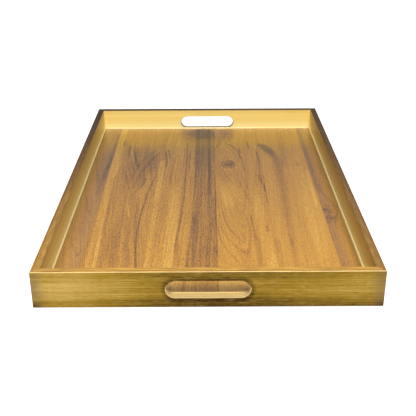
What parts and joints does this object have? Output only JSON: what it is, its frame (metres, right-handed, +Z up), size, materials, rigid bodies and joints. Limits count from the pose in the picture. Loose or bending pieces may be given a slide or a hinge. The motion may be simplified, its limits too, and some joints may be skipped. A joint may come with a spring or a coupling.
{
  "type": "serving tray",
  "caption": "Rectangular serving tray with gold-stained mitred wooden walls, a walnut floor, a bead around the floor and hand slots in the short walls.",
  "frame": {"origin": "middle of the tray, on the plane that the undersides of its felt pads stand on", "axes": "+Z up; X along the short walls, which have the hand slots; Y along the long walls, with -Y towards the near hand slot"},
  "size_m": [0.4, 0.6, 0.048],
  "materials": {
    "gold_stained_wood": "brass-gold translucent stain, smoky at ends and edges, satin lacquer",
    "pale_gold_moulding": "pale gold, satin lacquer",
    "walnut_veneer": "satin lacquer over golden-brown walnut figure",
    "backing_veneer": "plain brown veneer, thin lacquer",
    "plywood": "raw plywood",
    "beech_spline": "raw beech",
    "felt": "dark brown felt"
  },
  "bodies": {
    "root": {"front_wall": "gold_stained_wood", "front_bead": "pale_gold_moulding", "right_wall": "gold_stained_wood", "right_bead": "pale_gold_moulding", "back_wall": "gold_stained_wood", "back_bead": "pale_gold_moulding", "left_wall": "gold_stained_wood", "left_bead": "pale_gold_moulding", "front_left_corner_spline": "beech_spline", "front_left_felt_pad": "felt", "front_right_corner_spline": "beech_spline", "front_right_felt_pad": "felt", "back_left_corner_spline": "beech_spline", "back_left_felt_pad": "felt", "back_right_corner_spline": "beech_spline", "back_right_felt_pad": "felt", "backing_veneer": "backing_veneer", "plywood_core": "plywood", "walnut_leaf_far_left": "walnut_veneer", "walnut_leaf_left": "walnut_veneer", "walnut_leaf_mid_left": "walnut_veneer", "walnut_leaf_mid_right": "walnut_veneer", "walnut_leaf_right": "walnut_veneer", "walnut_leaf_far_right": "walnut_veneer"}
  },
  "joints": []
}
